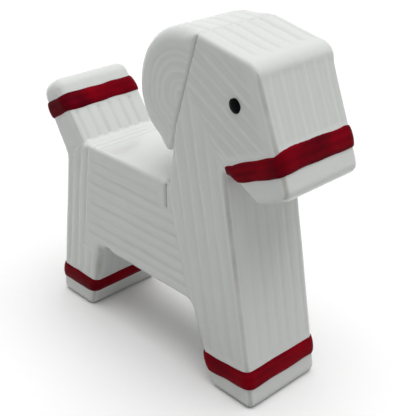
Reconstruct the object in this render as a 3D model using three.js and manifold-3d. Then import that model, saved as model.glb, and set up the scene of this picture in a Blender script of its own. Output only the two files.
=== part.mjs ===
// Yule goat figurine: a glazed stoneware goat shaped like one bundled from straw.
// Millimetres, +Z up, +X is the way the goat faces, Y runs across its width.
// Reach is measured forward of the neck base on the back, height from the floor.
import * as THREE from 'three';
import { mergeVertices } from 'three/addons/utils/BufferGeometryUtils.js';
import Module from 'manifold-3d';

const wasm = await Module();
wasm.setup();

// Section of the moulded body
const BODY_WIDTH = 46;
const EDGE_RADIUS = 3.5;
const SEAM = 0.3;
const SEAM_RUNOUT = 2;

// Trunk
const BACK_HEIGHT = 98.7;
const BACK_LENGTH = 62.7;
const BELLY_HEIGHT = 41;
const BELLY_FRONT_REACH = 14.6;
const BELLY_LENGTH = 68.5;
const VENT_DIAMETER = 6;
const VENT_DEPTH = 4;

// Front leg and neck
const FRONT_HEEL_REACH = 29;
const FRONT_FOOT_LENGTH = 28;
const THROAT_REACH = 36.6;
const THROAT_HEIGHT = 117.4;
const NAPE_REACH = 6.4;
const NAPE_HEIGHT = 129;
const MITRE_HEIGHT = 148.5;

// Hind leg and rump
const HIND_LEG_LEAN = 16;
const HIND_FOOT_LENGTH = 27.8;
const RUMP_REACH = -79.6;
const RUMP_HEIGHT = 87.4;
const HIND_SEAM_LEAD = 3;
const HIND_SEAM_DROP = 3.5;

// Tail
const TAIL_LEAN = 30.8;
const TAIL_LENGTH = 36.5;
const TAIL_TIP_DEPTH = 16.5;

// Head
const JAW_LENGTH = 21.7;
const JAW_FALL = 30;
const NOSE_DEPTH = 19.9;
const NOSE_RISE = 24;
const FOREHEAD_LENGTH = 52;
const FOREHEAD_LEAN = 19.7;
const CROWN_REACH = 20.8;
const CROWN_HEIGHT = 171.8;

// Coiled horn at the back of the head
const HORN_BACK_REACH = -18.8;
const HORN_TIP_LIFT = 12.8;
const HORN_TIP_RISE = 54;
const HORN_TOP_RADIUS = 30;
const HORN_HEEL_RADIUS = 24;
const HORN_EDGE_RADIUS = 6;
const HORN_RIM = 9.5;
const HORN_RING_PITCH = 5.3;
const HORN_RINGS = 3;

// Rounding of the silhouette's corners; outer corners add this to the edge radius
const FOOT_ROUNDING = 0.5;
const NOSE_ROUNDING = 1.5;
const BROW_ROUNDING = 4;
const TAIL_ROUNDING = 2.5;
const LEG_FILLET = 5;
const SADDLE_FILLET = 2;
const RUMP_FILLET = 10;
const TIP_FILLET = 1;

// Straw relief: strands side by side with a shallow valley between each two
const STRAND_WIDTH = 5.75;
const TRUNK_STRAND_WIDTH = 6.5;
const LEG_STRAND_WIDTH = 8;
const VALLEY_WIDTH = 1.6;
const VALLEY_DEPTH = 0.5;
const BROW_MARGIN = 9;
const CREASE_WIDTH = 3;
const CREASE_DEPTH = 1.5;

// Raised red glaze bands and black glaze eyes
const BAND_PROUD = 1.1;
const BAND_WIDTH = 9.5;
const FRONT_BAND_HEIGHT = 9.8;
const FRONT_BAND_TILT = 5;
const HIND_BAND_HEIGHT = 9.2;
const MUZZLE_BAND_SETBACK = 10.3;
const TAIL_BAND_SETBACK = 8.7;
const EYE_DIAMETER = 6.5;
const EYE_PROUD = 0.7;
const EYE_RISE = 41.9;
const EYE_SETBACK = 15.2;

// Faceting of round stretches, and the reach of cutting prisms past the body
const ARC_STEP = THREE.MathUtils.degToRad(13);
const EDGE_STEPS = 3;
const ROUND_STEPS = 24;
const DOME_STEPS = 4;
const FAR = 80;

// Points of the side view
const point = (reach, height) => new THREE.Vector2(reach, height);
const heading = (degrees) => {
  const angle = THREE.MathUtils.degToRad(degrees);
  return point(Math.cos(angle), Math.sin(angle));
};
const along = (start, direction, distance) => start.clone().addScaledVector(direction, distance);
const between = (start, end, share) => start.clone().lerp(end, share);
const directionOf = (start, end) => end.clone().sub(start).normalize();
const leftOf = (direction) => point(-direction.y, direction.x);

function crossing(start, direction, otherStart, otherDirection) {
  const offset = otherStart.clone().sub(start);
  return along(start, direction, offset.cross(otherDirection) / direction.cross(otherDirection));
}

const UP = point(0, 1);
const LEVEL = point(1, 0);

const neckBase = point(0, BACK_HEIGHT);
const tailRoot = point(-BACK_LENGTH, BACK_HEIGHT);
const bellyFront = point(BELLY_FRONT_REACH, BELLY_HEIGHT);
const bellyRear = point(BELLY_FRONT_REACH - BELLY_LENGTH, BELLY_HEIGHT);
const frontHeel = point(FRONT_HEEL_REACH, 0);
const frontToe = point(FRONT_HEEL_REACH + FRONT_FOOT_LENGTH, 0);
const throat = point(THROAT_REACH, THROAT_HEIGHT);
const nape = point(NAPE_REACH, NAPE_HEIGHT);
const hindToe = crossing(bellyRear, heading(90 - HIND_LEG_LEAN), point(0, 0), LEVEL);
const hindHeel = along(hindToe, LEVEL, -HIND_FOOT_LENGTH);
const rump = point(RUMP_REACH, RUMP_HEIGHT);

const tailAxis = heading(90 + TAIL_LEAN);
const tailAcross = leftOf(tailAxis).negate();
const tailBackTip = along(rump, tailAxis, TAIL_LENGTH);
const tailFrontTip = along(tailBackTip, tailAcross, TAIL_TIP_DEPTH);

const jawLine = heading(-JAW_FALL);
const noseLine = heading(NOSE_RISE);
const muzzleAxis = leftOf(noseLine);
const foreheadLine = heading(90 + FOREHEAD_LEAN);
const chin = along(throat, jawLine, JAW_LENGTH);
const nose = along(chin, noseLine, NOSE_DEPTH);
const brow = along(nose, foreheadLine, FOREHEAD_LENGTH);
const crown = point(CROWN_REACH, CROWN_HEIGHT);

const creaseLine = directionOf(nape, crown);
const napeLine = directionOf(neckBase, nape);
const hornTip = crossing(neckBase, napeLine, point(0, BACK_HEIGHT + HORN_TIP_LIFT), LEVEL);
const mitreTop = crossing(nape, creaseLine, point(0, MITRE_HEIGHT), LEVEL);

// A corner of an outline with the radius that rounds it
const corner = (at, radius = 0) => ({ at, radius });
const outer = (at, rounding) => corner(at, EDGE_RADIUS + rounding);

// The horn's back edge carries both bends: the heel's, and the top's in the height that is left
const tipLine = heading(90 + HORN_TIP_RISE);
const hornHeel = crossing(point(HORN_BACK_REACH, 0), UP, hornTip, tipLine);
const heelRun = HORN_HEEL_RADIUS * Math.tan(THREE.MathUtils.degToRad(HORN_TIP_RISE) / 2);
const hornTopRadius = Math.min(HORN_TOP_RADIUS, CROWN_HEIGHT - hornHeel.y - heelRun);

// The horn's free edge, or a ring that lies a distance inside it, from the crown round to the tip
function hornCorners(inset) {
  const lower = along(hornTip, leftOf(tipLine), -inset);
  const back = point(HORN_BACK_REACH + inset, 0);
  const top = point(0, CROWN_HEIGHT - inset);
  return [
    corner(crossing(top, LEVEL, nape, creaseLine)),
    corner(crossing(top, LEVEL, back, UP), Math.max(hornTopRadius - inset, 0)),
    corner(crossing(back, UP, lower, tipLine), Math.max(HORN_HEEL_RADIUS - inset, 0)),
    corner(crossing(lower, tipLine, nape, inset > 0 ? creaseLine : napeLine)),
  ];
}

// Points along an outline whose corners are rounded by arcs, each arc drawn as short tangents
function rounded(corners, closed = true) {
  const count = corners.length;
  return corners.flatMap(({ at, radius }, index) => {
    const isEnd = !closed && (index === 0 || index === count - 1);
    if (isEnd || radius === 0) return [at];
    const arriving = directionOf(corners.at(index - 1).at, at);
    const leaving = directionOf(at, corners[(index + 1) % count].at);
    const turn = Math.atan2(arriving.cross(leaving), arriving.dot(leaving));
    const start = along(at, arriving, -radius * Math.tan(Math.abs(turn) / 2));
    const centre = along(start, leftOf(arriving), Math.sign(turn) * radius);
    const steps = Math.ceil(Math.abs(turn) / ARC_STEP);
    const tangent = radius * Math.tan(Math.abs(turn) / (2 * steps));
    const first = along(start, arriving, tangent);
    return Array.from({ length: steps }, (_, k) => first.clone().rotateAround(centre, (turn * k) / steps));
  });
}

const hornBends = hornCorners(0).slice(1, 3);
const silhouette = rounded([
  outer(hindHeel, FOOT_ROUNDING),
  outer(hindToe, FOOT_ROUNDING),
  corner(bellyRear, LEG_FILLET),
  corner(bellyFront, LEG_FILLET),
  outer(frontHeel, FOOT_ROUNDING),
  outer(frontToe, FOOT_ROUNDING),
  corner(throat, SADDLE_FILLET),
  outer(chin, NOSE_ROUNDING),
  outer(nose, NOSE_ROUNDING),
  outer(brow, BROW_ROUNDING),
  corner(crown),
  ...hornBends,
  corner(hornTip, TIP_FILLET),
  corner(neckBase, SADDLE_FILLET),
  corner(tailRoot, SADDLE_FILLET),
  outer(tailFrontTip, TAIL_ROUNDING),
  outer(tailBackTip, TAIL_ROUNDING),
  corner(rump, RUMP_FILLET),
]);

// Solids
function solid(geometry) {
  geometry.deleteAttribute('normal');
  geometry.deleteAttribute('uv');
  const merged = mergeVertices(geometry);
  return new wasm.Manifold(new wasm.Mesh({
    numProp: 3,
    vertProperties: new Float32Array(merged.attributes.position.array),
    triVerts: new Uint32Array(merged.index.array),
  }));
}

const union = (solids) => solids.reduce((joined, next) => joined.add(next));

// Stands a side-view extrusion up, centred across the body
function across(outline, depth, settings) {
  const geometry = new THREE.ExtrudeGeometry(new THREE.Shape(outline), { depth, ...settings });
  geometry.translate(0, 0, -depth / 2);
  geometry.rotateX(Math.PI / 2);
  return solid(geometry);
}

// The outline made as wide as the body, its flank edges rounded, grown outwards by an offset
function slab(outline, edge, offset = 0) {
  return across(outline, BODY_WIDTH - 2 * edge, {
    bevelThickness: edge + offset,
    bevelSize: edge + offset,
    bevelOffset: -edge,
    bevelSegments: EDGE_STEPS,
  });
}

const prism = (outline) => across(outline, BODY_WIDTH + 2 * FAR, { bevelEnabled: false });

// A strip of the side view across an axis, from one distance along it to another
function strip(origin, axis, from, to) {
  const side = leftOf(axis);
  return prism([
    along(along(origin, axis, from), side, FAR),
    along(along(origin, axis, from), side, -FAR),
    along(along(origin, axis, to), side, -FAR),
    along(along(origin, axis, to), side, FAR),
  ]);
}

// Seams: lines where one casting is luted to the next
const hindSeamTop = along(tailRoot, LEVEL, HIND_SEAM_LEAD);
const rumpLine = directionOf(hindHeel, rump);
const hindSeamHeight = point(0, BELLY_HEIGHT - HIND_SEAM_DROP);
const hindSeamFoot = crossing(hindSeamTop, rumpLine, hindSeamHeight, LEVEL);
const hindLegLine = directionOf(hindToe, bellyRear);
const hindSeamEnd = along(crossing(hindToe, hindLegLine, hindSeamHeight, LEVEL), LEVEL, LEG_FILLET);
const hindSeamSky = along(hindSeamTop, UP, SEAM_RUNOUT);
const tailSeamRear = along(rump, directionOf(tailRoot, rump), FAR);
const tailSeamFront = along(tailRoot, directionOf(rump, tailRoot), SEAM_RUNOUT);
const foreSeamTop = along(neckBase, directionOf(bellyFront, neckBase), SEAM_RUNOUT);
const foreSeamEnd = along(bellyFront, directionOf(neckBase, bellyFront), LEG_FILLET);
const throatSky = along(throat, directionOf(mitreTop, throat), FAR);
const crownSky = along(crown, creaseLine, FAR);
const tipSky = along(hornTip, leftOf(tipLine), SEAM_RUNOUT);

const seams = [
  [tailSeamRear, tailSeamFront],
  [hindSeamSky, hindSeamTop, hindSeamFoot, hindSeamEnd],
  [foreSeamTop, foreSeamEnd],
  [crownSky, nape, hornTip],
  [mitreTop, throatSky],
];

function seamCut(start, end) {
  const direction = directionOf(start, end);
  const middle = between(start, end, 0.5);
  const box = new THREE.BoxGeometry(start.distanceTo(end) + SEAM, BODY_WIDTH + 2 * FAR, SEAM);
  box.rotateY(-direction.angle());
  box.translate(middle.x, 0, middle.y);
  return solid(box);
}

const seamCuts = union(seams.flatMap((line) => line.slice(1).map((end, k) => seamCut(line[k], end))));

const zones = {
  hindquarters: [
    tailSeamRear,
    point(tailSeamRear.x, -FAR),
    point(hindSeamEnd.x, -FAR),
    hindSeamEnd,
    hindSeamFoot,
    hindSeamTop,
    hindSeamSky,
    tailSeamFront,
  ],
  trunk: [hindSeamSky, hindSeamTop, hindSeamFoot, hindSeamEnd, foreSeamEnd, foreSeamTop],
  forequarters: [
    foreSeamTop,
    foreSeamEnd,
    point(foreSeamEnd.x, -FAR),
    point(frontToe.x + FAR, -FAR),
    throatSky,
    mitreTop,
    nape,
    hornTip,
    tipSky,
  ],
  head: [throatSky, along(nose, LEVEL, FAR), along(brow, LEVEL, FAR), crownSky, mitreTop],
  horn: [
    crownSky,
    nape,
    hornTip,
    tipSky,
    point(HORN_BACK_REACH - FAR, hornTip.y),
    point(HORN_BACK_REACH - FAR, CROWN_HEIGHT + FAR),
  ],
  tail: [tailSeamFront, along(tailFrontTip, UP, FAR), along(tailSeamRear, UP, FAR), tailSeamRear],
};
const zone = (name) => prism(zones[name]);

// Valleys between straws: rhombic bars laid in the surface
function valley(start, end, outward, width = VALLEY_WIDTH, depth = VALLEY_DEPTH) {
  const section = new THREE.Shape([
    point(-width / 2, 0),
    point(0, -depth),
    point(width / 2, 0),
    point(0, depth),
  ]);
  const run = end.clone().sub(start);
  const geometry = new THREE.ExtrudeGeometry(section, { depth: run.length(), bevelEnabled: false });
  const direction = run.normalize();
  const sideways = outward.clone().cross(direction);
  geometry.applyMatrix4(new THREE.Matrix4().makeBasis(sideways, outward, direction).setPosition(start));
  return solid(geometry);
}

const placed = (at, y) => new THREE.Vector3(at.x, y, at.y);

// One valley on each flank along a line of the side view
function flankValleys(start, end, width, depth) {
  return [-1, 1].map((side) => {
    const y = (side * BODY_WIDTH) / 2;
    return valley(placed(start, y), placed(end, y), new THREE.Vector3(0, side, 0), width, depth);
  });
}

// Parallel valleys on a face that runs across the body, from start to end in the side view
function faceValleys(start, end, outward) {
  const strands = Math.round(BODY_WIDTH / STRAND_WIDTH);
  const pitch = BODY_WIDTH / strands;
  return Array.from({ length: strands - 1 }, (_, k) => {
    const y = (k + 1) * pitch - BODY_WIDTH / 2;
    return valley(placed(start, y), placed(end, y), placed(outward, 0));
  });
}

// Valleys that share out the space between two lines of the flank, the lines themselves left bare
function fannedValleys(startA, endA, startB, endB, strandWidth) {
  const widest = Math.max(startA.distanceTo(startB), endA.distanceTo(endB));
  const strands = Math.round(widest / strandWidth);
  return Array.from({ length: strands - 1 }, (_, k) => {
    const share = (k + 1) / strands;
    return flankValleys(between(startA, startB, share), between(endA, endB, share));
  }).flat();
}

const frontBand = {
  origin: between(frontHeel, frontToe, 0.5),
  axis: heading(90 + FRONT_BAND_TILT),
  setback: FRONT_BAND_HEIGHT,
};
const hindBand = { origin: hindHeel, axis: UP, setback: HIND_BAND_HEIGHT };
const muzzleBand = { origin: chin, axis: muzzleAxis, setback: MUZZLE_BAND_SETBACK };
const tailBand = { origin: tailBackTip, axis: tailAxis.clone().negate(), setback: TAIL_BAND_SETBACK };

// The part of a limb that carries straw relief, on the body side of its band
const strawField = ({ origin, axis, setback }) => strip(origin, axis, setback + BAND_WIDTH, 2 * FAR);

const chestFace = leftOf(directionOf(frontToe, throat)).negate();
const frontLegBack = leftOf(directionOf(bellyFront, frontHeel)).negate();
const hindLegFront = leftOf(directionOf(hindToe, bellyRear)).negate();
const rumpFace = leftOf(rumpLine);
const foreheadFace = leftOf(foreheadLine).negate();
const crownFace = leftOf(directionOf(crown, brow));
const tailFace = leftOf(directionOf(tailRoot, tailFrontTip)).negate();

const relief = {
  trunk: fannedValleys(bellyFront, bellyRear, neckBase, tailRoot, TRUNK_STRAND_WIDTH),
  hindquarters: [
    ...fannedValleys(hindHeel, rump, hindToe, hindSeamTop, LEG_STRAND_WIDTH),
    ...faceValleys(hindHeel, rump, rumpFace),
    ...faceValleys(hindToe, bellyRear, hindLegFront),
  ],
  forequarters: [
    ...flankValleys(frontHeel, nape),
    ...fannedValleys(frontHeel, nape, frontToe, throat, LEG_STRAND_WIDTH),
    ...faceValleys(frontToe, throat, chestFace),
    ...faceValleys(frontHeel, bellyFront, frontLegBack),
  ],
  head: [
    ...headValleys(),
    ...faceValleys(nose, along(brow, foreheadLine, -BROW_MARGIN), foreheadFace),
    ...faceValleys(crown, between(brow, crown, BROW_MARGIN / brow.distanceTo(crown)), crownFace),
  ],
  horn: [...hornRings(), ...hornRim()],
  tail: [
    ...faceValleys(tailRoot, tailFrontTip, tailFace),
    ...faceValleys(rump, tailBackTip, tailAcross.clone().negate()),
  ],
};

// Straws on the cheeks lie parallel to the jaw, from the mitre to the forehead
function headValleys() {
  const lift = leftOf(jawLine);
  const rows = Math.floor(brow.clone().sub(throat).dot(lift) / STRAND_WIDTH);
  return Array.from({ length: rows }, (_, k) => {
    const start = along(throat, lift, (k + 1) * STRAND_WIDTH);
    return flankValleys(along(start, jawLine, -FAR), along(start, jawLine, FAR));
  }).flat();
}

// The horn's coil shows as nested rings that come to a point at the crease
function hornRings() {
  return Array.from({ length: HORN_RINGS }, (_, ring) => {
    const path = rounded(hornCorners(HORN_RIM + ring * HORN_RING_PITCH), false);
    return path.slice(1).flatMap((end, k) => flankValleys(path[k], end));
  }).flat();
}

// Straws run round the horn's free edge from the crown to the tip
function hornRim() {
  const path = rounded(hornCorners(0), false);
  return path.slice(1).flatMap((end, k) => {
    const outward = leftOf(directionOf(path[k], end)).negate();
    return faceValleys(path[k], end, outward);
  });
}

// Deeper valleys mark the crease round the horn and the mitre of head and neck
const creases = union([
  ...flankValleys(crown, nape, CREASE_WIDTH, CREASE_DEPTH),
  ...flankValleys(nape, hornTip, CREASE_WIDTH, CREASE_DEPTH),
  ...flankValleys(mitreTop, throat),
]);

// Castings: the body cut at its seams, with the relief pressed in
const body = slab(silhouette, EDGE_RADIUS);
const hornOutline = rounded([
  corner(hornTip),
  corner(along(hornTip, LEVEL, FAR)),
  corner(along(crown, LEVEL, FAR)),
  ...hornBends,
]);
const hornBlank = slab(hornOutline, HORN_EDGE_RADIUS);
const ventCut = solid(
  new THREE.CylinderGeometry(VENT_DIAMETER / 2, VENT_DIAMETER / 2, 2 * VENT_DEPTH, ROUND_STEPS)
    .rotateX(Math.PI / 2)
    .translate(between(bellyRear, bellyFront, 0.5).x, 0, BELLY_HEIGHT),
);
const casting = (name) => body.intersect(zone(name)).subtract(seamCuts).subtract(creases);
const pressed = (name, field) => {
  const valleys = union(relief[name]);
  return casting(name).subtract(field ? valleys.intersect(field) : valleys);
};

// Bands: a skin over the casting, seated a seam's width off it
const underBand = slab(silhouette, EDGE_RADIUS, SEAM);
const overBand = slab(silhouette, EDGE_RADIUS, BAND_PROUD);
const bandSkin = overBand.subtract(underBand);
function band({ origin, axis, setback }, name) {
  const loop = strip(origin, axis, setback, setback + BAND_WIDTH);
  return bandSkin.intersect(loop).intersect(zone(name)).subtract(seamCuts);
}

// An eye: a low dome of thick glaze on the cheek
function eye(side) {
  const radius = EYE_DIAMETER / 2;
  const capRadius = (radius * radius + EYE_PROUD * EYE_PROUD) / (2 * EYE_PROUD);
  const capAngle = Math.asin(radius / capRadius);
  const dome = Array.from({ length: DOME_STEPS }, (_, k) => {
    const angle = capAngle * (1 - k / DOME_STEPS);
    return point(capRadius * Math.sin(angle), EYE_PROUD + capRadius * (Math.cos(angle) - 1));
  });
  const lens = new THREE.LatheGeometry([point(0, 0), ...dome, point(0, EYE_PROUD)], ROUND_STEPS);
  const at = along(along(nose, muzzleAxis, EYE_RISE), noseLine, -EYE_SETBACK);
  if (side < 0) lens.rotateX(Math.PI);
  lens.translate(at.x, side * (BODY_WIDTH / 2 + SEAM), at.y);
  return solid(lens);
}

// Glazes
const whiteGlaze = { color: 0xf0f1ee, roughness: 0.22, metalness: 0 };
const redGlaze = { color: 0x8c0a1e, roughness: 0.2, metalness: 0 };
const blackGlaze = { color: 0x0c0c0d, roughness: 0.2, metalness: 0 };

function meshOf(name, shape, glaze) {
  const { vertProperties, triVerts } = shape.getMesh();
  const geometry = new THREE.BufferGeometry();
  geometry.setAttribute('position', new THREE.BufferAttribute(vertProperties, 3));
  geometry.setIndex(new THREE.BufferAttribute(triVerts, 1));
  geometry.computeVertexNormals();
  const mesh = new THREE.Mesh(geometry, new THREE.MeshStandardMaterial(glaze));
  mesh.name = name;
  return mesh;
}

const goat = new THREE.Group();
goat.add(
  meshOf('hindquarters', pressed('hindquarters', strawField(hindBand)), whiteGlaze),
  meshOf('trunk', pressed('trunk').subtract(ventCut), whiteGlaze),
  meshOf('forequarters', pressed('forequarters', strawField(frontBand)), whiteGlaze),
  meshOf('head', pressed('head', strawField(muzzleBand)), whiteGlaze),
  meshOf('horn', pressed('horn').intersect(hornBlank), whiteGlaze),
  meshOf('tail', pressed('tail', strawField(tailBand)), whiteGlaze),
  meshOf('front_leg_band', band(frontBand, 'forequarters'), redGlaze),
  meshOf('hind_leg_band', band(hindBand, 'hindquarters'), redGlaze),
  meshOf('muzzle_band', band(muzzleBand, 'head'), redGlaze),
  meshOf('tail_band', band(tailBand, 'tail'), redGlaze),
  meshOf('eye_left', eye(1), blackGlaze),
  meshOf('eye_right', eye(-1), blackGlaze),
);

// The origin lies on the floor under the middle of the goat's length
const extent = new THREE.Box3().setFromObject(goat);
goat.position.x = -(extent.min.x + extent.max.x) / 2;
goat.updateMatrixWorld(true);

export default goat;
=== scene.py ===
import cmath
import math

import bmesh
import bpy
import numpy as np
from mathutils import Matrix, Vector


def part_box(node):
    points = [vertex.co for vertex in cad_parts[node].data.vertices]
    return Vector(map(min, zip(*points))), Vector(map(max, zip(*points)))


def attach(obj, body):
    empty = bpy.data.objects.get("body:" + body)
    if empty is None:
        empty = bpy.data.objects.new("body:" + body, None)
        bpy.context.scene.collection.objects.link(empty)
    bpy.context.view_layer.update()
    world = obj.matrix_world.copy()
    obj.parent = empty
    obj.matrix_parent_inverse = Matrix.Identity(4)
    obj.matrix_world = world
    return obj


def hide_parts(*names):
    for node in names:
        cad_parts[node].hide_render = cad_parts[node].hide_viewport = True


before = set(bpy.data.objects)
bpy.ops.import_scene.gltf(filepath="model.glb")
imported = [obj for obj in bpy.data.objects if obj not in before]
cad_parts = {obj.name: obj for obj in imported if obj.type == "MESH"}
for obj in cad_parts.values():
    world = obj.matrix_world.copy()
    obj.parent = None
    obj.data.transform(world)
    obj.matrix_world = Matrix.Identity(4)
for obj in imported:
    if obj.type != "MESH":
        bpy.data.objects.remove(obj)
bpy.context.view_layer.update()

# Body blank
# The goat leaves its plaster mould as one slab of clay: a side view drawn straight across the width.
# Mould and sponge leave every edge soft, fullest on the horn and tightest on the back and the head's top.
MM = 0.001
HALF_WIDTH = 23
FLANK_EDGE = 3.5
HORN_EDGE = 6
TAIL_EDGE = 3
BACK_EDGE = 2
ARCH_EDGE = 5.5
HIND_FOOT_LENGTH = 27.8
TAIL_LENGTH = 36.5
TAIL_DEPTH = 16.5
JAW_LENGTH = 21.7
NOSE_DEPTH = 19.9
FOREHEAD_LENGTH = 54.8
SOLE_CORNER = 4
ARCH_CORNER = 5
THROAT_CORNER = 2
MUZZLE_CORNER = 5
BROW_CORNER = 7.5
HORN_TOP_BEND = 30
HORN_HEEL_BEND = 24
HORN_TIP_CORNER = 1.5
HORN_ROOT_CORNER = 0.5
SADDLE_CORNER = 2
TAIL_CORNER = 6
RUMP_BEND = 10
SKIN_PITCH = 0.7
FIELD_PITCH = 0.5
FIELD_MARGIN = 8
ARC_STEP = math.radians(2)


def heading(degrees):
    """Unit step of the side view, in degrees from the way the goat faces"""
    return cmath.rect(1, math.radians(degrees))


def crossing(start, direction, other_start, other_direction):
    """Where two lines of the side view meet"""
    reach = ((other_start - start).conjugate() * other_direction).imag
    return start + direction * reach / (direction.conjugate() * other_direction).imag


def rounded(corners):
    """A closed outline from corners and the radius of each"""
    points = []
    for index, (at, radius) in enumerate(corners):
        before = corners[index - 1][0]
        after = corners[(index + 1) % len(corners)][0]
        arriving = (at - before) / abs(at - before)
        turn = cmath.phase((after - at) / arriving)
        start = at - arriving * radius * math.tan(abs(turn) / 2)
        centre = start + arriving * 1j * radius * math.copysign(1, turn)
        steps = max(1, math.ceil(abs(turn) / ARC_STEP)) if radius else 0
        for step in range(steps + 1):
            points.append(centre + (start - centre) * cmath.rect(1, turn * step / max(steps, 1)))
    return points


class Field:
    """Distance from a closed outline over the side view, negative inside"""

    def __init__(self, outline):
        outline = np.array(outline)
        self.low = complex(outline.real.min() - FIELD_MARGIN, outline.imag.min() - FIELD_MARGIN)
        reaches = np.arange(0, np.ptp(outline.real) + 2 * FIELD_MARGIN, FIELD_PITCH)
        heights = np.arange(0, np.ptp(outline.imag) + 2 * FIELD_MARGIN, FIELD_PITCH)
        places = self.low + reaches[None, :] + 1j * heights[:, None]
        nearest = np.full(places.shape, np.inf)
        inside = np.zeros(places.shape, bool)
        for start, end in zip(outline, np.roll(outline, -1)):
            run = end - start
            if abs(run) < 1e-6:
                continue
            share = (places - start) / run
            nearest = np.minimum(nearest, abs(share - np.clip(share.real, 0, 1)) * abs(run))
            spans = (start.imag > places.imag) != (end.imag > places.imag)
            inside ^= spans & (share.imag * run.imag > 0)
        self.distance = np.where(inside, -nearest, nearest)
        rise, lead = np.gradient(self.distance, FIELD_PITCH)
        self.lead = lead + 1j * rise

    def sample(self, grid, at):
        """A grid's values at places between its points"""
        across = np.clip((at - self.low).real / FIELD_PITCH, 0, grid.shape[1] - 1.001)
        up = np.clip((at - self.low).imag / FIELD_PITCH, 0, grid.shape[0] - 1.001)
        column, row = across.astype(int), up.astype(int)
        across, up = across - column, up - row
        lower = grid[row, column] * (1 - across) + grid[row, column + 1] * across
        upper = grid[row + 1, column] * (1 - across) + grid[row + 1, column + 1] * across
        return lower * (1 - up) + upper * up

    def depth(self, at):
        return self.sample(self.distance, at)

    def outward(self, at):
        lead = self.sample(self.lead, at)
        return lead / np.maximum(abs(lead), 1e-6)


def ease(value, start, end):
    """Smooth step from 0 at start to 1 at end"""
    share = np.clip((value - start) / (end - start), 0, 1)
    return share * share * (3 - 2 * share)


def left_of(at, start, end):
    """Distance to the left of a line of the side view"""
    return ((at - start) / (end - start)).imag * abs(end - start)


def apart(at, start, end):
    """Distance from a stretch of line in the side view"""
    share = (at - start) / (end - start)
    return abs(share - np.clip(share.real, 0, 1)) * abs(end - start)


# Points of the side view are complex numbers in millimetres: reach ahead of the neck base, then height
neck_base = 98.7j
tail_root = -62.7 + 98.7j
belly_front = 14.6 + 41j
belly_rear = -53.9 + 41j
front_heel = 29 + 0j
front_toe = 57 + 0j
throat = 36.6 + 117.4j
nape = 6.4 + 129j
hind_toe = crossing(belly_rear, heading(74), 0j, 1)
hind_heel = hind_toe - HIND_FOOT_LENGTH
rump = -79.6 + 87.4j
tail_axis = heading(120.8)
tail_back = rump + TAIL_LENGTH * tail_axis
tail_front = tail_back - 1j * TAIL_DEPTH * tail_axis
jaw_line = heading(-30)
nose_line = heading(24)
forehead_line = heading(111.3)
chin = throat + JAW_LENGTH * jaw_line
nose = chin + NOSE_DEPTH * nose_line
brow = nose + FOREHEAD_LENGTH * forehead_line
crown = 20.8 + 171.8j
horn_back = -18.8
horn_root = crossing(neck_base, nape - neck_base, 115j, 1)
horn_tip = 0.1 + 113.5j
tip_line = heading(144)
horn_top = complex(horn_back, crown.imag)
horn_heel = crossing(horn_back, 1j, horn_tip, tip_line)
horn_bends = [(horn_top, HORN_TOP_BEND), (horn_heel, HORN_HEEL_BEND)]
silhouette = rounded([
    (hind_heel, SOLE_CORNER), (hind_toe, SOLE_CORNER), (belly_rear, ARCH_CORNER), (belly_front, ARCH_CORNER),
    (front_heel, SOLE_CORNER), (front_toe, SOLE_CORNER), (throat, THROAT_CORNER), (chin, MUZZLE_CORNER),
    (nose, MUZZLE_CORNER), (brow, BROW_CORNER), (crown, 0), *horn_bends, (horn_tip, HORN_TIP_CORNER),
    (horn_root, HORN_ROOT_CORNER), (neck_base, SADDLE_CORNER), (tail_root, SADDLE_CORNER),
    (tail_front, TAIL_CORNER), (tail_back, TAIL_CORNER), (rump, RUMP_BEND),
])
body = Field(silhouette)
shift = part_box("horn")[0].x / MM - horn_back


def edge_radius(at):
    """Radius that softens the edge of the flank; each part's share fades out over a few millimetres"""
    on_horn = ease(left_of(at, nape, crown), 0, 8) * ease(at.imag, 111, 121)
    on_tail = ease(((at - rump) / tail_axis).real, 4, 16) * (at.real < belly_rear.real)
    on_back = ease(at.imag, 88, 94) * ease(at.real, -64, -58) * ease(-at.real, -1, 3) * (at.imag < 105)
    on_arch = (1 - ease(apart(at, hind_toe, belly_rear), 6, 11)) * ease(at.imag, 20, 27)
    on_top = (1 - ease(apart(at, crown, brow), 4, 9)) * ease(at.real, 16, 24)
    fuller = (HORN_EDGE - FLANK_EDGE) * on_horn + (ARCH_EDGE - FLANK_EDGE) * on_arch
    tighter = (FLANK_EDGE - TAIL_EDGE) * on_tail + (FLANK_EDGE - BACK_EDGE) * (on_back + on_top)
    return FLANK_EDGE + fuller - tighter


def settle(at, y):
    """Brings points near the blank on to its softened skin, with the outward direction there"""
    radius = edge_radius(at)
    outward = body.outward(at)
    rim = body.depth(at) + radius
    flank = abs(y) - HALF_WIDTH + radius
    reach = np.hypot(np.maximum(rim, 0), np.maximum(flank, 0)) + 1e-9
    to_rim, to_flank = np.maximum(rim, 0) / reach, np.maximum(flank, 0) / reach
    at = at + outward * np.where(rim > 0, to_rim * radius - rim, 0)
    y = y + np.sign(y) * np.where(flank > 0, to_flank * radius - flank, 0)
    return at, y, outward * to_rim, np.sign(y) * to_flank


def in_frame(at, y):
    """A place of the side view, at y across the body, as a point of the frame"""
    return (at.real + shift) * MM, y * MM, at.imag * MM


def new_object(name, data):
    """An object in the scene that shows a mesh or holds a camera"""
    made = bpy.data.objects.new(name, data)
    bpy.context.scene.collection.objects.link(made)
    return made


def face_outward(mesh):
    """Turns the faces of a closed mesh outward"""
    skin = bmesh.new()
    skin.from_mesh(mesh)
    bmesh.ops.recalc_face_normals(skin, faces=skin.faces)
    skin.to_mesh(mesh)
    skin.free()


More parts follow.
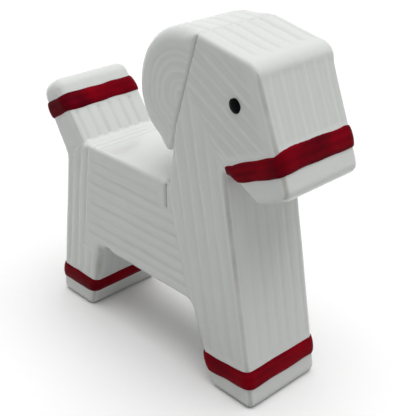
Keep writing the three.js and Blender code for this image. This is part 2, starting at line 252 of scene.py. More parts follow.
def prism(name, outline, half_width):
    """A closed outline drawn across the body, as an object"""
    count = len(outline)
    corners = [in_frame(at, y) for y in (-half_width, half_width) for at in outline]
    sides = [(k, (k + 1) % count, (k + 1) % count + count, k + count) for k in range(count)]
    mesh = bpy.data.meshes.new(name)
    mesh.from_pydata(corners, [], [tuple(range(count))[::-1], tuple(range(count, 2 * count)), *sides])
    face_outward(mesh)
    return new_object(name, mesh)


def shaped_mesh(piece):
    """The mesh of an object with its modifiers applied"""
    return bpy.data.meshes.new_from_object(piece.evaluated_get(bpy.context.evaluated_depsgraph_get()))


def read_skin(mesh):
    """Side-view places and y of a mesh's vertices, in millimetres"""
    places = np.empty(3 * len(mesh.vertices))
    mesh.vertices.foreach_get("co", places)
    x, y, z = places.reshape(-1, 3).T / MM
    return x - shift + 1j * z, y


def write_skin(mesh, at, y):
    """Sets a mesh's vertices from side-view places and y"""
    mesh.vertices.foreach_set("co", np.column_stack(in_frame(at, y)).ravel())
    mesh.update()


slab = prism("slab", silhouette, HALF_WIDTH)
skin = slab.modifiers.new("skin", "REMESH")
skin.mode = "VOXEL"
skin.voxel_size = SKIN_PITCH * MM
blank = shaped_mesh(slab)
bpy.data.objects.remove(slab)
at, y = read_skin(blank)
for _ in range(2):
    at, y = settle(at, y)[:2]
write_skin(blank, at, y)

# Forequarters
# Neck and front leg are one straw bundle that stands from the floor to the nape, fanned on the flank.
# White-firing clay, luted to the trunk and head, its straws pressed by the mould under one shiny glaze.
# Glaze gathers grey in the valleys and thins to a warm line on the edges, both deepened by painted shade,
# with darker painted shade in the deep seams; it is wiped off the sole.
LEG_STRAWS = 4
LEG_STRAW = 7
LEG_RELIEF = 1.28
FAN_START = 0.45
CHEST_STRAW = 6.3
CHEST_FIRST = -19.7
CHEST_RELIEF = 0.75
STRAW_VALLEY = 0.24
STRAW_CROWN = 0.22
STRAW_FIBRE = 0.04
LAP_DEPTH = 0.36
LAP_RISE = 0.3
RIDGE_DEPTH = 0.42
FAINT_RIDGE = 0.3
VALLEY_HALF = 1.0
RIDGE_HALF = 0.9
SEAM_HALF = 0.8
NOTCH_HALF = 0.75
NOTCH_DROP = 13.2
NOTCH_SETBACK = 1.1
HIND_SEAM_LEAD = 3
HIND_SEAM_HEIGHT = 37.5
FORE_SEAM_TOP = 101
FORE_SEAM_END = 36
MITRE_HEIGHT = 148.5
OVERCUT = 2
ARCH_OVERCUT = 5
SPONGED = 0.1
FULL_VALLEY = 0.5
BAND_FADE = 3.5
FAR = 80
SLIVER = 0.12
WHITE_GLAZE = (0.677, 0.695, 0.677, 1)
# Grey of glaze pooled in the valleys, darkened further as painted valley shade
POOLED_GLAZE_AND_SHADE = (0.53, 0.55, 0.535, 1)
# Glaze thinned on the edges, darkened further as painted edge shade
THIN_GLAZE_AND_EDGE_SHADE = (0.41, 0.405, 0.37, 1)
CHAFED_CLAY = (0.40, 0.33, 0.24, 1)
# Colour of the painted shade in the deepest seams and the notch
PAINTED_CREASE_SHADE = (0.25, 0.24, 0.2, 1)
BARE_CLAY = (0.60, 0.52, 0.42, 1)


class Socket:
    """A shader value that takes part in arithmetic"""

    def __init__(self, tree, socket=None):
        self.tree, self.socket = tree, socket

    def node(self, kind, settings, inputs, output=0):
        """Any node, from its type, its settings and the values or links of its sockets"""
        node = self.tree.nodes.new(kind)
        for name, value in settings.items():
            setattr(node, name, value)
        for name, value in inputs.items():
            if isinstance(value, Socket):
                self.tree.links.new(value.socket, node.inputs[name])
            else:
                node.inputs[name].default_value = value
        return Socket(self.tree, node.outputs[output])

    def math(self, operation, *values):
        return self.node("ShaderNodeMath", {"operation": operation}, dict(enumerate(values)))

    def __add__(self, other):
        return self.math("ADD", self, other)

    def __sub__(self, other):
        return self.math("SUBTRACT", self, other)

    def __rsub__(self, other):
        return self.math("SUBTRACT", other, self)

    def __mul__(self, other):
        return self.math("MULTIPLY", self, other)

    __radd__, __rmul__ = __add__, __mul__

    def ramp(self, start, end):
        """Smooth step from 0 at start to 1 at end"""
        settings = {"interpolation_type": "SMOOTHSTEP"}
        return self.node("ShaderNodeMapRange", settings, {"Value": self, 1: start, 2: end})

    def mix(self, colour, other):
        """From one colour to another as this value goes from 0 to 1"""
        return self.node("ShaderNodeMix", {"data_type": "RGBA"}, {0: self, 6: colour, 7: other}, 2)

    def bump(self, strength, distance):
        """The surface's direction with this value as its height"""
        inputs = {"Strength": strength, "Distance": distance, "Height": self}
        return self.node("ShaderNodeBump", {}, inputs)

    def noise(self, scale, detail):
        """Soft noise over these coordinates"""
        inputs = {"Vector": self, "Scale": scale, "Detail": detail}
        return self.node("ShaderNodeTexNoise", {}, inputs)

    def attribute(self, name):
        """A value kept on the mesh's points"""
        return self.node("ShaderNodeAttribute", {"attribute_name": name}, {}, "Fac")

    def feed(self, shader, name):
        self.tree.links.new(self.socket, shader.inputs[name])


def new_finish(name, constants):
    """A material, its shader with the constants set, and the object's coordinates"""
    material = bpy.data.materials.new(name)
    material.use_nodes = True
    shader = material.node_tree.nodes["Principled BSDF"]
    for socket, value in constants.items():
        shader.inputs[socket].default_value = value
    place = Socket(material.node_tree).node("ShaderNodeTexCoord", {}, {}, "Object")
    return material, shader, place


white_glaze, shader, place = new_finish("white_glaze", {"Specular IOR Level": 0.3, "Coat Roughness": 0.06})
cloud = place.noise(45, 4)
fleck = place.noise(420, 3)
peel = place.noise(260, 2)
pinholes = place.node("ShaderNodeTexVoronoi", {}, {"Vector": place, "Scale": 120})
valley = place.attribute("valley")
edge = place.attribute("edge")
bare = place.attribute("bare")
# Pooled glaze greys the valleys, and the same ramp paints shade into them; the cloud adds tone that varies at
# random
pooled_and_valley_shade = valley.ramp(0.1, 1.3) * 0.42 + (cloud - 0.42) * 0.25
# Painted shade: the deepest seams and the notch beside the neck darkened towards brown
crease_shade = valley.ramp(1.4, 2.6) * 0.8
# Thin glaze darkens the edges and painted shade deepens it; edges that face up or down get less of it
thin_and_shaded_edge = edge.ramp(0.6, 1.02)
edge_glaze_and_shade = thin_and_shaded_edge * thin_and_shaded_edge * (cloud.ramp(0.35, 0.6) * 0.45 + 0.35)
chafed = edge.ramp(0.7, 0.95) * cloud.ramp(0.58, 0.7) * fleck.ramp(0.45, 0.65) * 0.6
pinhole = (1 - pinholes.ramp(0.03, 0.06)) * fleck.ramp(0.5, 0.6) * 0.5
colour = pooled_and_valley_shade.mix(WHITE_GLAZE, POOLED_GLAZE_AND_SHADE)
colour = crease_shade.mix(colour, PAINTED_CREASE_SHADE)
colour = edge_glaze_and_shade.mix(colour, THIN_GLAZE_AND_EDGE_SHADE)
colour = chafed.mix(colour, CHAFED_CLAY)
colour = pinhole.mix(colour, BARE_CLAY)
colour = bare.mix(colour, BARE_CLAY)
colour.feed(shader, "Base Color")
(0.17 + cloud * 0.08 + bare * 0.55).feed(shader, "Roughness")
((1 - bare) * 0.35).feed(shader, "Coat Weight")
surface = peel * 0.5 + cloud * 0.5 - pinhole * 0.6 + bare * fleck * 1.5
surface.bump(0.35, 0.0006).feed(shader, "Normal")

hind_seam_top = tail_root + HIND_SEAM_LEAD
hind_seam_foot = crossing(hind_seam_top, rump - hind_heel, 1j * HIND_SEAM_HEIGHT, 1)
hind_seam_end = crossing(hind_toe, belly_rear - hind_toe, 1j * HIND_SEAM_HEIGHT, 1) + ARCH_OVERCUT
hind_seam_sky = hind_seam_top + 1j * OVERCUT
fore_seam_top = crossing(neck_base, neck_base - belly_front, 1j * FORE_SEAM_TOP, 1)
fore_seam_end = crossing(neck_base, neck_base - belly_front, 1j * FORE_SEAM_END, 1)
tail_seam_rear = rump + FAR * (rump - tail_root) / abs(rump - tail_root)
tail_seam_front = tail_root + OVERCUT * (tail_root - rump) / abs(rump - tail_root)
mitre_top = crossing(nape, crown - nape, 1j * MITRE_HEIGHT, 1)
throat_sky = throat + FAR * (throat - mitre_top) / abs(throat - mitre_top)
crown_sky = crown + FAR * (crown - nape) / abs(crown - nape)
root_sky = horn_root + OVERCUT * heading(231)
notch = neck_base - NOTCH_SETBACK

# Seams between castings, and the notch beside the neck: ends, depth on flank and on rim, half width
SEAMS = [
    (crown, nape, 1.0, 0.4, SEAM_HALF),
    (nape, horn_root, 0.9, 0.3, SEAM_HALF),
    (mitre_top, throat, 0.35, 0, SEAM_HALF),
    (notch, notch - 1j * NOTCH_DROP, 1.3, 0.5, NOTCH_HALF),
    (neck_base, belly_front, 0.3, 0, SEAM_HALF),
    (hind_seam_top, hind_seam_foot, 0.4, 0.1, SEAM_HALF),
    (rump, tail_root, 0.1, 0.1, SEAM_HALF),
]


def wander(line, run, seed):
    """Sideways drift of a hand-cut line along its run"""
    return 0.3 * np.sin(run / 14 + 2.3 * line + seed) + 0.15 * np.sin(run / 5.7 + 4.1 * line)


def firmness(line, run, seed):
    """How firmly a line was pressed, which varies from line to line and along each"""
    return 0.82 + 0.18 * np.sin(3.7 * line + 1.9 * seed + run / 23)


def straws(count, width, run, seed):
    """Depth pressed between plump straws that lie side by side, counted across, along their run"""
    line = np.round(count)
    offset = (count - line) * width + wander(line, run, seed)
    between = STRAW_VALLEY * np.exp(-(offset / VALLEY_HALF) ** 2)
    crowned = STRAW_CROWN * (1 - 2 * abs(count - line)) ** 2
    fibres = STRAW_FIBRE * np.sin(6 * np.pi * count + offset + seed) * np.sin(run / 31 + line)
    return firmness(line, run, seed) * (between + crowned + fibres)


def lapped(count, width, run, seed):
    """Depth pressed where straws lap like shingles: a quick rise out of each valley, then a slow fall"""
    count = count + wander(np.floor(count), run, seed) / width
    share = count - np.floor(count)
    shingle = np.where(share < LAP_RISE, 1 - ease(share, 0, LAP_RISE), ease(share, 0.2, 1))
    return LAP_DEPTH * firmness(np.floor(count + 0.5), run, seed) * shingle


def ridges(count, width, run, seed):
    """Depth pressed on both sides of thin raised stalks, with a fainter stalk half-way between them"""
    line = np.round(count)
    offset = (count - line) * width + wander(line, run, seed)
    between = (abs(count - line) - 0.5) * width
    stalk = np.exp(-(offset / RIDGE_HALF) ** 2) + FAINT_RIDGE * np.exp(-(between / RIDGE_HALF) ** 2)
    return RIDGE_DEPTH * (1 - firmness(line, run, seed) * stalk)


def facing(outward, direction):
    """How squarely the skin faces a direction of the side view"""
    return ease((outward * np.conj(direction / abs(direction))).real, 0.8, 0.96)


def across(y, relief, first, width, run, seed):
    """Relief whose lines lie side by side across a face of the body's rim, from the first line's y"""
    return relief((y - first) / width, width, run, seed) * ease(HALF_WIDTH - abs(y), 1, 3)


def refine_seams(mesh):
    """Merges the slivers that a cut leaves and halves the facets beside each seam"""
    skin = bmesh.new()
    skin.from_mesh(mesh)
    bmesh.ops.remove_doubles(skin, verts=skin.verts, dist=SLIVER * MM)
    for span in (2.4, 1.6):
        skin.verts.index_update()
        at = np.array([complex(vert.co.x / MM - shift, vert.co.z / MM) for vert in skin.verts])
        near = np.min([apart(at, start, end) for start, end, *_ in SEAMS], axis=0) < span
        beside = [edge for edge in skin.edges if all(near[vert.index] for vert in edge.verts)]
        short = [edge for edge in beside if edge.calc_length() < 2 * SKIN_PITCH * MM]
        bmesh.ops.subdivide_edges(skin, edges=short, cuts=1, use_grid_fill=True)
    skin.to_mesh(mesh)
    skin.free()


def carved(piece, operation, tool):
    """The mesh that a boolean with a tool leaves of a piece; the tool goes"""
    cut = piece.modifiers.new("cut", "BOOLEAN")
    cut.operation = operation
    cut.solver = "MANIFOLD"
    cut.object = tool
    mesh = shaped_mesh(piece)
    piece.modifiers.clear()
    bpy.data.objects.remove(tool)
    return mesh


def dress(mesh, finish, sharp):
    """Gives a mesh its finish, shaded smooth up to an angle in degrees"""
    mesh.shade_smooth()
    mesh.set_sharp_from_angle(angle=math.radians(sharp))
    mesh.materials.clear()
    mesh.materials.append(finish)


def keep(mesh, name, values):
    """Keeps a value for each point of a mesh, for its finish to read"""
    mesh.attributes.new(name, "FLOAT", "POINT").data.foreach_set("value", values.astype(np.float32))


def cast(name, zone, press):
    """Cuts a casting from the blank at its seams, presses its relief and glazes it"""
    casting = new_object("glazed_" + name, blank)
    mesh = carved(casting, "INTERSECT", prism("cutter", zone, FAR))
    casting.data = mesh
    refine_seams(mesh)
    at, y = read_skin(mesh)
    at, y, rim, side = settle(at, y)
    on_flank = ease(abs(side), 0.7, 0.95)
    relief = press(at, y, rim, on_flank)
    seam = np.zeros(len(y))
    for start, end, flank_depth, rim_depth, half in SEAMS:
        gap = apart(at, start, end)
        relief = relief * ease(gap, 0.2, 1.6)
        depth = rim_depth + (flank_depth - rim_depth) * on_flank
        seam = np.maximum(seam, depth * np.exp(-(gap / half) ** 2))
    rolling = np.sin(at.real / 11 + y / 19) * np.sin(at.imag / 13 - y / 17)
    swell = rolling + np.sin(at.real / 6 - at.imag / 7)
    depth = relief + seam + SPONGED * (1 + swell / 2)
    write_skin(mesh, at - rim * depth, y - side * depth)
    # The valley value drives pooled glaze, painted valley shade and painted shade in the seams
    keep(mesh, "valley", (relief + seam) / FULL_VALLEY)
    # Edge value for thin glaze and painted edge shade, weaker on edges that face up or down
    keep(mesh, "edge", 2 * abs(rim * side) * (1 - 0.7 * ease(abs(rim.imag), 0.35, 0.6)))
    keep(mesh, "bare", ease(-rim.imag, 0.93, 0.99) * (at.imag < 1))
    dress(mesh, white_glaze, sharp=75)
    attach(casting, "root")
    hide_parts(name)
    return casting


# A band's origin and axis in the side view, how far along the axis it starts, and its width
front_band = ((front_heel + front_toe) / 2, heading(95), 9.5, 10.1)


def above_band(at, band):
    """1 on the straw side of a band, fading to the smooth end beyond it"""
    origin, axis, setback, width = band
    return ease(((at - origin) / axis).real - setback - width, 0, BAND_FADE)


def press_forequarters(at, y, rim, on_flank):
    behind = -left_of(at, front_heel, nape)
    ahead = left_of(at, front_toe, throat)
    fan = LEG_STRAWS * behind / np.maximum(behind + ahead, 1) + FAN_START
    ends = ease(fan, -0.5, -0.2) * ease(LEG_STRAWS + FAN_START - fan, 0.3, 0.6)
    flank = LEG_RELIEF * lapped(fan, LEG_STRAW, at.imag, 1) * ends
    chest = across(y, straws, CHEST_FIRST, CHEST_STRAW, at.imag, 2)
    chest = CHEST_RELIEF * facing(rim, -1j * (throat - front_toe)) * chest
    back = across(y, straws, CHEST_FIRST, CHEST_STRAW, at.imag, 3)
    back = facing(rim, -1j * (front_heel - belly_front)) * back
    return (flank * on_flank + chest + back) * above_band(at, front_band)


cast("forequarters", [
    fore_seam_top, fore_seam_end, complex(fore_seam_end.real, -FAR), complex(front_toe.real + FAR, -FAR),
    throat_sky, mitre_top, nape, horn_root, root_sky,
], press_forequarters)

# Trunk
# The barrel of the goat, about nine straws lying lengthwise from the hind seam to a smooth strip at the neck.
# Same clay and glaze, luted between the two standing bundles, with back and belly sponged plain.
# A vent drilled 4 mm into the belly stands for the one that lets the real goat's hollow breathe in the
# firing; the casting here is solid.
TRUNK_STRAW = 6.05
TRUNK_FIRST = 1
TRUNK_RELIEF = 1.4
LAP_REACHES = (-60, -56.5, -52.5)
LAP_LINE_DEPTH = 0.45
LAP_LINE_HALF = 0.8
VENT_RADIUS = 3
VENT_DEPTH = 4
VENT_SIDES = 48


def lap_lines(at, rim):
    """Faint lines across the back, where the tail's bundle laps on to it"""
    lines = sum(np.exp(-((at.real - reach) / LAP_LINE_HALF) ** 2) for reach in LAP_REACHES)
    return LAP_LINE_DEPTH * lines * facing(rim, 1j)


def press_trunk(at, y, rim, on_flank):
    rise = left_of(at, belly_rear, belly_front)
    ends = ease(rise, 4, 6.5) * ease(neck_base.imag - at.imag, 3, 6)
    off_seam = ease(left_of(at, hind_seam_top, hind_seam_foot), 1, 6)
    off_notch = 1 - ease(at.imag, 82, 86) * ease(at.real, -7, -5)
    flank = TRUNK_RELIEF * straws((rise - TRUNK_FIRST) / TRUNK_STRAW, TRUNK_STRAW, at.real, 4)
    return flank * ends * off_seam * off_notch * on_flank + lap_lines(at, rim)


def vent_drill():
    """A round cutter at the middle of the belly"""
    drill = bmesh.new()
    size = {"radius1": VENT_RADIUS * MM, "radius2": VENT_RADIUS * MM, "depth": 2 * VENT_DEPTH * MM}
    bmesh.ops.create_cone(drill, cap_ends=True, segments=VENT_SIDES, **size)
    bmesh.ops.translate(drill, verts=drill.verts, vec=in_frame((belly_rear + belly_front) / 2, 0))
    mesh = bpy.data.meshes.new("drill")
    drill.to_mesh(mesh)
    drill.free()
    return new_object("drill", mesh)


trunk = cast("trunk", [
    hind_seam_sky, hind_seam_top, hind_seam_foot, hind_seam_end, fore_seam_end, fore_seam_top,
], press_trunk)
trunk.data = carved(trunk, "DIFFERENCE", vent_drill())
dress(trunk.data, white_glaze, sharp=60)

# Hindquarters
# Rump and hind leg, a second standing bundle, its straws side by side from the rear edge forward.
# Same clay and glaze, luted to the rear of the trunk.
HIND_STRAW = 6.05
hind_band = (hind_heel, 1j, 9.2, 9.5)


def press_hindquarters(at, y, rim, on_flank):
    behind = -left_of(at, hind_heel, rump)
    flank = straws(behind / HIND_STRAW, HIND_STRAW, at.imag, 5) * ease(behind, 2.5, 4)
    rear = across(y, straws, CHEST_FIRST, CHEST_STRAW, at.imag, 6)
    rear = facing(rim, 1j * (rump - hind_heel)) * rear
    front = across(y, straws, CHEST_FIRST, CHEST_STRAW, at.imag, 7)
    front = facing(rim, -1j * (belly_rear - hind_toe)) * front
    off_seam = ease(apart(at, hind_seam_foot, hind_seam_end), 0.3, 5)
    return (flank * on_flank + rear + front) * off_seam * above_band(at, hind_band) + lap_lines(at, rim)


cast("hindquarters", [
    tail_seam_rear, complex(tail_seam_rear.real, -FAR), complex(hind_seam_end.real, -FAR),
    hind_seam_end, hind_seam_foot, hind_seam_top, hind_seam_sky, tail_seam_front,
], press_hindquarters)

# Tail
# A short bundle leaning back, its straws showing on the front and rear faces up to the band.
# Same clay and glaze, luted to the rump; the tip is sponged round.
TAIL_STRAW = 6.7
TAIL_FIRST = -18.9
TAIL_RELIEF = 1.6
tail_band = (tail_back, -tail_axis, 8.7, 9.3)


def press_tail(at, y, rim, on_flank):
    front = TAIL_RELIEF * across(y, straws, TAIL_FIRST, TAIL_STRAW, at.imag, 8)
    rear = across(y, straws, TAIL_FIRST, TAIL_STRAW, at.imag, 9)
    faces = facing(rim, -1j * (tail_front - tail_root)) * front + facing(rim, 1j * tail_axis) * rear
    return faces * ease(((at - tail_back) / -tail_axis).real, 18, 20.5)


cast("tail", [
    tail_seam_front, tail_front + FAR * 1j, tail_seam_rear + FAR * 1j, tail_seam_rear,
], press_tail)

# Head
# A wedge with straws along the jaw on each cheek, down the forehead, and along the flat top.
# Same clay and glaze, luted to the neck; the edges towards the brow are sponged smooth.
CHEEK_RIDGE = 5.6
CHEEK_FIRST = 5.4
CHEEK_RELIEF = 1.2
FOREHEAD_RIDGE = 6.7
FOREHEAD_FIRST = -17.3
TOP_STRAW = 7.05
TOP_FIRST = -15.5
TOP_RELIEF = 1.3
muzzle_band = (chin, 1j * nose_line, 10.3, 9.2)


def press_head(at, y, rim, on_flank):
    lift = ((at - throat) / jaw_line).imag
    from_forehead = left_of(at, nose, brow)
    from_top = left_of(at, brow, crown)
    cheek = CHEEK_RELIEF * ridges((lift - CHEEK_FIRST) / CHEEK_RIDGE, CHEEK_RIDGE, at.real, 10)
    cheek = cheek * ease(from_forehead, 4, 10) * ease(from_top, 2, 6) * ease(lift, 3, 5)
    forehead = across(y, ridges, FOREHEAD_FIRST, FOREHEAD_RIDGE, at.imag, 11)
    forehead = facing(rim, -1j * forehead_line) * forehead * ease(abs(at - brow), 3, 7)
    top = TOP_RELIEF * across(y, straws, TOP_FIRST, TOP_STRAW, at.real, 12)
    top = facing(rim, -1j * (crown - brow)) * top * ease(abs(at - brow), 4, 10)
    return (cheek * on_flank + forehead + top) * above_band(at, muzzle_band)


cast("head", [throat_sky, nose + FAR, brow + FAR, crown_sky, mitre_top], press_head)

# Horn
# The horn is coiled flat behind the head: nested rings on both flanks that come to points at a crease.
# Same clay and glaze, with a fat round rim, luted to the head and the nape.
HORN_RIM = 10.5
HORN_RING = 4
HORN_ROOM = 10
coil = Field(rounded([(horn_tip, 0), (horn_tip + FAR, 0), (crown + FAR, 0), *horn_bends]))


def press_horn(at, y, rim, on_flank):
    ring = (-coil.depth(at) - HORN_RIM) / HORN_RING
    rings = ridges(ring, HORN_RING, at.imag, 13) * ease(ring, -0.6, -0.3)
    inner = 1 - ease(abs(y), HALF_WIDTH - HORN_EDGE, HALF_WIDTH - HORN_EDGE / 2)
    rim_straws = inner * across(y, straws, TOP_FIRST, TOP_STRAW, at.real - at.imag, 14)
    return rings * on_flank + rim_straws * ease(abs(rim), 0.6, 0.9)


cast("horn", [
    crown_sky, nape, horn_root, root_sky, complex(horn_back - HORN_ROOM, neck_base.imag + 6),
    complex(horn_back - HORN_ROOM, crown.imag + FAR),
], press_horn)

# Bands
# Ribbons of thick crimson glaze trailed round muzzle, legs and tail, about a millimetre proud.
# The brush leaves wavy edges, a domed section and faint streaks along each ribbon.
BAND_PROUD = 1.05
BAND_SUNK = 0.6
BAND_ROOT = 0.9
BAND_SWELL = 0.08
ROOT_SHARES = (0.85, 0.15)
DOME_POWER = 0.3
AROUND = 220
ROWS = 15
HALF_DEPTH = 14
SQUARENESS = 1.35
FRONT_START = 8
FRONT_END = 13
REAR_START = 9
REAR_RUN = 3.8
SEARCH_REACH = 2.5
SEARCH_STEPS = 36
RED_GLAZE = (0.25, 0.0003, 0.007, 1)
DEEP_RED = (0.09, 0.0002, 0.005, 1)

THICK_GLOSS = {"Coat Weight": 0.03, "Coat Roughness": 0.03}
red_glaze, shader, place = new_finish("red_glaze", {"Specular IOR Level": 0.01, **THICK_GLOSS})
streak = place.attribute("streak")
cloud = place.noise(48, 3)
(streak * 0.22 + cloud).ramp(0.36, 0.84).mix(DEEP_RED, RED_GLAZE).feed(shader, "Base Color")
(0.1 + cloud * 0.1).feed(shader, "Roughness")
(cloud + streak * 0.15).bump(0.25, 0.0005).feed(shader, "Normal")


def skin_distance(at, y, stop):
    """Distance outside the blank's softened skin; stop is a line that also bounds the limb"""
    depth = body.depth(at)
    if stop:
        depth = np.maximum(depth, left_of(at, *stop))
    radius = edge_radius(at)
    rim, flank = depth + radius, abs(y) - HALF_WIDTH + radius
    outside = np.hypot(np.maximum(rim, 0), np.maximum(flank, 0))
    return outside + np.minimum(np.maximum(rim, flank), 0) - radius


def waver(rng, angle):
    """The unevenness of a hand-laid edge, all the way round"""
    return sum(rng.uniform(0.05, 0.15) * np.sin(k * angle + rng.uniform(0, 6.3)) for k in (2, 3, 5, 9))


def rolled_faces(columns):
    """Faces of a ribbon that closes both along its length and round its section"""
    faces = []
    for turn in range(AROUND):
        here, after = turn * columns, (turn + 1) % AROUND * columns
        for row in range(columns):
            beside = (row + 1) % columns
            faces.append((here + row, after + row, after + beside, here + beside))
    return faces


def trail_band(name, band, inner, seed, fore=(0, 0), aft=(0, 0), stop=None):
    """Lays a ribbon of glaze round a limb; inner is a point of the side view inside the limb.
    The ribbon's edges shift by fore on the limb's front face and by aft on its rear face."""
    origin, axis, setback, width = band
    rng = np.random.default_rng(seed)
    angle = np.linspace(0, 2 * np.pi, AROUND, endpoint=False)
    edge_y = np.clip(SQUARENESS * np.sin(angle), -1, 1) * HALF_WIDTH
    edge_side = np.clip(SQUARENESS * np.cos(angle), -1, 1) * HALF_DEPTH
    forward = (1j * axis).real * edge_side
    ahead = ease(forward, FRONT_START, FRONT_END)
    behind = 1 - np.sqrt(1 - np.clip((-forward - REAR_START) / REAR_RUN, 0, 1) ** 2)
    low = setback + waver(rng, angle) + fore[0] * ahead + aft[0] * behind
    high = setback + width + waver(rng, angle) + fore[1] * ahead + aft[1] * behind
    swell = 1 - BAND_SWELL * (1 + np.sin(4 * angle + rng.uniform(0, 6.3)))
    share = np.linspace(0, 1, ROWS)
    dome = np.sin(np.pi * share) ** DOME_POWER
    heights = np.append(-BAND_SUNK + (BAND_PROUD + BAND_SUNK) * dome, [-BAND_ROOT, -BAND_ROOT])
    share = np.append(share, ROOT_SHARES)
    along = low[:, None] + (high - low)[:, None] * share[None, :]
    target = heights[None, :] * np.where(heights > 0, swell[:, None], 1)
    centre = origin + axis * along
    centre = centre + 1j * axis * ((inner - centre) / (1j * axis)).real
    ray = 1j * axis * edge_side[:, None]
    near, far = np.zeros(along.shape), np.full(along.shape, SEARCH_REACH)
    for _ in range(SEARCH_STEPS):
        middle = (near + far) / 2
        outside = skin_distance(centre + ray * middle, edge_y[:, None] * middle, stop) > target
        near, far = np.where(outside, near, middle), np.where(outside, middle, far)
    at, y = (centre + ray * near).ravel(), (edge_y[:, None] * near).ravel()
    mesh = bpy.data.meshes.new("glaze_" + name)
    mesh.from_pydata([(0, 0, 0)] * len(y), [], rolled_faces(len(share)))
    write_skin(mesh, at, y)
    face_outward(mesh)
    lanes = np.sin(17 * share + seed) * 0.3 + np.sin(41 * share + 2 * seed) * 0.2
    drawn = 0.5 + lanes[None, :] * (0.7 + 0.3 * np.sin(2 * angle + seed))[:, None]
    keep(mesh, "streak", drawn.ravel())
    mesh.shade_smooth()
    mesh.materials.append(red_glaze)
    ribbon = new_object("glaze_" + name, mesh)
    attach(ribbon, "root")
    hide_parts(name)


trail_band("front_leg_band", front_band, (front_heel + front_toe) / 2 + 16 * heading(98), 1)
trail_band("hind_leg_band", hind_band, (hind_heel + hind_toe) / 2 + 14 * heading(82), 2, fore=(0.7, 0))
trail_band(
    "muzzle_band", muzzle_band, (chin + nose) / 2 + 15 * heading(118), 3,
    fore=(0.3, 1.6), aft=(0, -0.9), stop=(throat, mitre_top),
)
trail_band("tail_band", tail_band, (tail_back + tail_front) / 2 - 13 * tail_axis, 4)

# Eyes
# A drop of thick black glaze on each cheek, dabbed by hand so that it is not quite round.
# It stands under a millimetre proud, domed, and fused to the white glaze in the firing.
EYE_RADIUS = 3.2
EYE_PROUD = 0.68
EYE_ROOT = 0.6
EYE_DOME = 2.6
EYE_RISE = 41.9
EYE_SETBACK = 15.2
EYE_RINGS = 10
EYE_AROUND = 48
BLACK_GLAZE = (0.0006, 0.0006, 0.001, 1)
WORN_BLACK = (0.0025, 0.0025, 0.003, 1)
eye_middle = nose + 1j * EYE_RISE * nose_line - EYE_SETBACK * nose_line

black_glaze, shader, place = new_finish("black_glaze", {"Specular IOR Level": 0.02, **THICK_GLOSS})
cloud = place.noise(500, 3)
cloud.ramp(0.35, 0.7).mix(BLACK_GLAZE, WORN_BLACK).feed(shader, "Base Color")
(0.08 + cloud * 0.1).feed(shader, "Roughness")
cloud.bump(0.2, 0.0003).feed(shader, "Normal")


def dab_eye(name, side):
    """Lathes one drop, from its top down to its root in the cheek"""
    shares = [ring / EYE_RINGS for ring in range(1, EYE_RINGS)]
    rings = [(share, EYE_PROUD * (1 - share ** EYE_DOME)) for share in shares]
    rings += [(1, 0), (1, -EYE_ROOT)]
    drop = bmesh.new()
    top = drop.verts.new(in_frame(eye_middle, side * (HALF_WIDTH + EYE_PROUD)))
    loops = []
    for share, lift in rings:
        loop = []
        for k in range(EYE_AROUND):
            turn = 2 * math.pi * k / EYE_AROUND
            uneven = 0.96 + 0.05 * math.cos(2 * turn + 2.1) + 0.01 * math.sin(5 * turn)
            at = eye_middle + cmath.rect(EYE_RADIUS * share * uneven, turn)
            loop.append(drop.verts.new(in_frame(at, side * (HALF_WIDTH + lift))))
        loops.append(loop)
    for k in range(EYE_AROUND):
        after = (k + 1) % EYE_AROUND
        drop.faces.new((top, loops[0][k], loops[0][after]))
        for inner, outer in zip(loops, loops[1:]):
            drop.faces.new((inner[k], outer[k], outer[after], inner[after]))
    drop.faces.new(loops[-1])
    mesh = bpy.data.meshes.new("dabbed_" + name)
    drop.to_mesh(mesh)
    drop.free()
    face_outward(mesh)
    dress(mesh, black_glaze, sharp=60)
    dab = new_object("dabbed_" + name, mesh)
    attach(dab, "root")
    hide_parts(name)


dab_eye("eye_left", 1)
dab_eye("eye_right", -1)

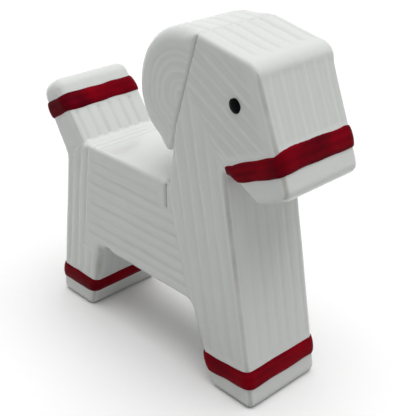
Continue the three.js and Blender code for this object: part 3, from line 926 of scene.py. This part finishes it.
# Studio
# A white sweep of paper under the goat, a soft light overhead in a pale room, and a camera at arm's length.
# What the camera sees of paper and room is white, and so is what the glaze reflects.
PAPER = (0.93, 0.93, 0.93, 1)
PAPER_FIBRE = (0.95, 0.95, 0.95, 1)
PAPER_BOUNCE = (0.54, 0.54, 0.54, 1)
PAPER_REACH = 6
WHITE = (1, 1, 1, 1)
SOFTBOX_BEARING = (0.07, 0.05, 0.996)
SOFTBOX_GLOW = 3.2
SOFTBOX_RIM = 0.74
SOFTBOX_CORE = 0.98
ROOM_GLOW = 0.3
CAMERA_TARGET = Vector((15.2, 0, 78.6)) * MM
CAMERA_DISTANCE = 412.7 * MM
CAMERA_TURN = math.radians(46.51)
CAMERA_RISE = math.radians(27.25)


def seen(start):
    """1 for rays that show the studio, straight or in a reflection, and 0 for those that light the goat"""
    rays = ("Is Camera Ray", "Is Glossy Ray", "Is Transmission Ray")
    return sum(start.node("ShaderNodeLightPath", {}, {}, ray) for ray in rays)


paper, shader, place = new_finish("paper", {"Roughness": 0.9, "Specular IOR Level": 0.1})
sheet = place.noise(300, 2).mix(PAPER, PAPER_FIBRE)
seen(place).mix(PAPER_BOUNCE, sheet).feed(shader, "Base Color")
sweep = bpy.data.meshes.new("paper_sweep")
corners = [(-1, -1), (1, -1), (1, 1), (-1, 1)]
sweep.from_pydata([(PAPER_REACH * x, PAPER_REACH * y, 0) for x, y in corners], [], [(0, 1, 2, 3)])
sweep.materials.append(paper)
floor = new_object("paper_sweep", sweep)

world = bpy.data.worlds.new("studio")
bpy.context.scene.world = world
world.use_nodes = True
backdrop = world.node_tree.nodes["Background"]
bearing = Socket(world.node_tree).node("ShaderNodeTexCoord", {}, {}, "Generated")
both = {0: bearing, 1: SOFTBOX_BEARING}
towards = bearing.node("ShaderNodeVectorMath", {"operation": "DOT_PRODUCT"}, both, "Value")
softbox = towards.ramp(SOFTBOX_RIM, SOFTBOX_CORE) * SOFTBOX_GLOW + ROOM_GLOW
seen(bearing).mix(softbox, WHITE).feed(backdrop, "Color")

lens = bpy.data.cameras.new("camera")
lens.lens = 74.83
lens.sensor_width = 36
lens.clip_start = 0.01
camera = new_object("camera", lens)
looking = Vector((
    -math.sin(CAMERA_TURN) * math.cos(CAMERA_RISE),
    math.cos(CAMERA_TURN) * math.cos(CAMERA_RISE),
    -math.sin(CAMERA_RISE),
))
camera.location = CAMERA_TARGET - looking * CAMERA_DISTANCE
camera.rotation_euler = looking.to_track_quat("-Z", "Y").to_euler()
bpy.context.scene.camera = camera
bpy.context.scene.view_settings.view_transform = "Standard"
